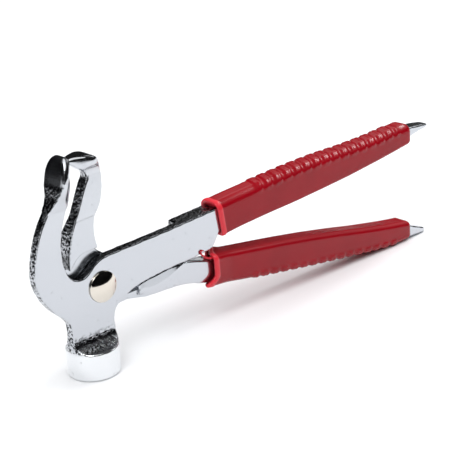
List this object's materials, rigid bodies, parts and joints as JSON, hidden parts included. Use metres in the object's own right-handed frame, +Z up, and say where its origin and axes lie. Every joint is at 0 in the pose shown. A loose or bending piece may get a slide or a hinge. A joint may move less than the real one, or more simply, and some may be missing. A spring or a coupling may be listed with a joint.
{
  "type": "hammer pliers",
  "caption": "Hammer and beaked pincers in one tool: two lapped chromed levers on a domed rivet, pry tips and ribbed red sleeve grips.",
  "frame": {"origin": "centre of the hammer's striking face, which stands on the floor", "axes": "+Z up along the hammer's axis towards the jaws, +X from the hammer to the handles, +Y through the thickness from the front face to the back"},
  "size_m": [0.262, 0.025, 0.107],
  "materials": {
    "chromed_steel": "bright chrome plate over drop-forged steel, flats polished, edges left coarse from grinding",
    "nickel_rivet": "bright nickel-plated steel, slightly warm",
    "red_pvc": "dipped and moulded soft PVC, glossy"
  },
  "bodies": {
    "hammer_half": {"hammer_lever": "chromed_steel", "pivot_rivet": "nickel_rivet", "upper_grip": "red_pvc"},
    "jaw_half": {"jaw_lever": "chromed_steel", "lower_grip": "red_pvc"}
  },
  "joints": [
    {"name": "jaw_pivot", "type": "hinge", "parent": "hammer_half", "child": "jaw_half", "pos_m": [0.007, 0, 0.041], "axis": [0, 1, 0], "range_deg": [0, 32]}
  ]
}
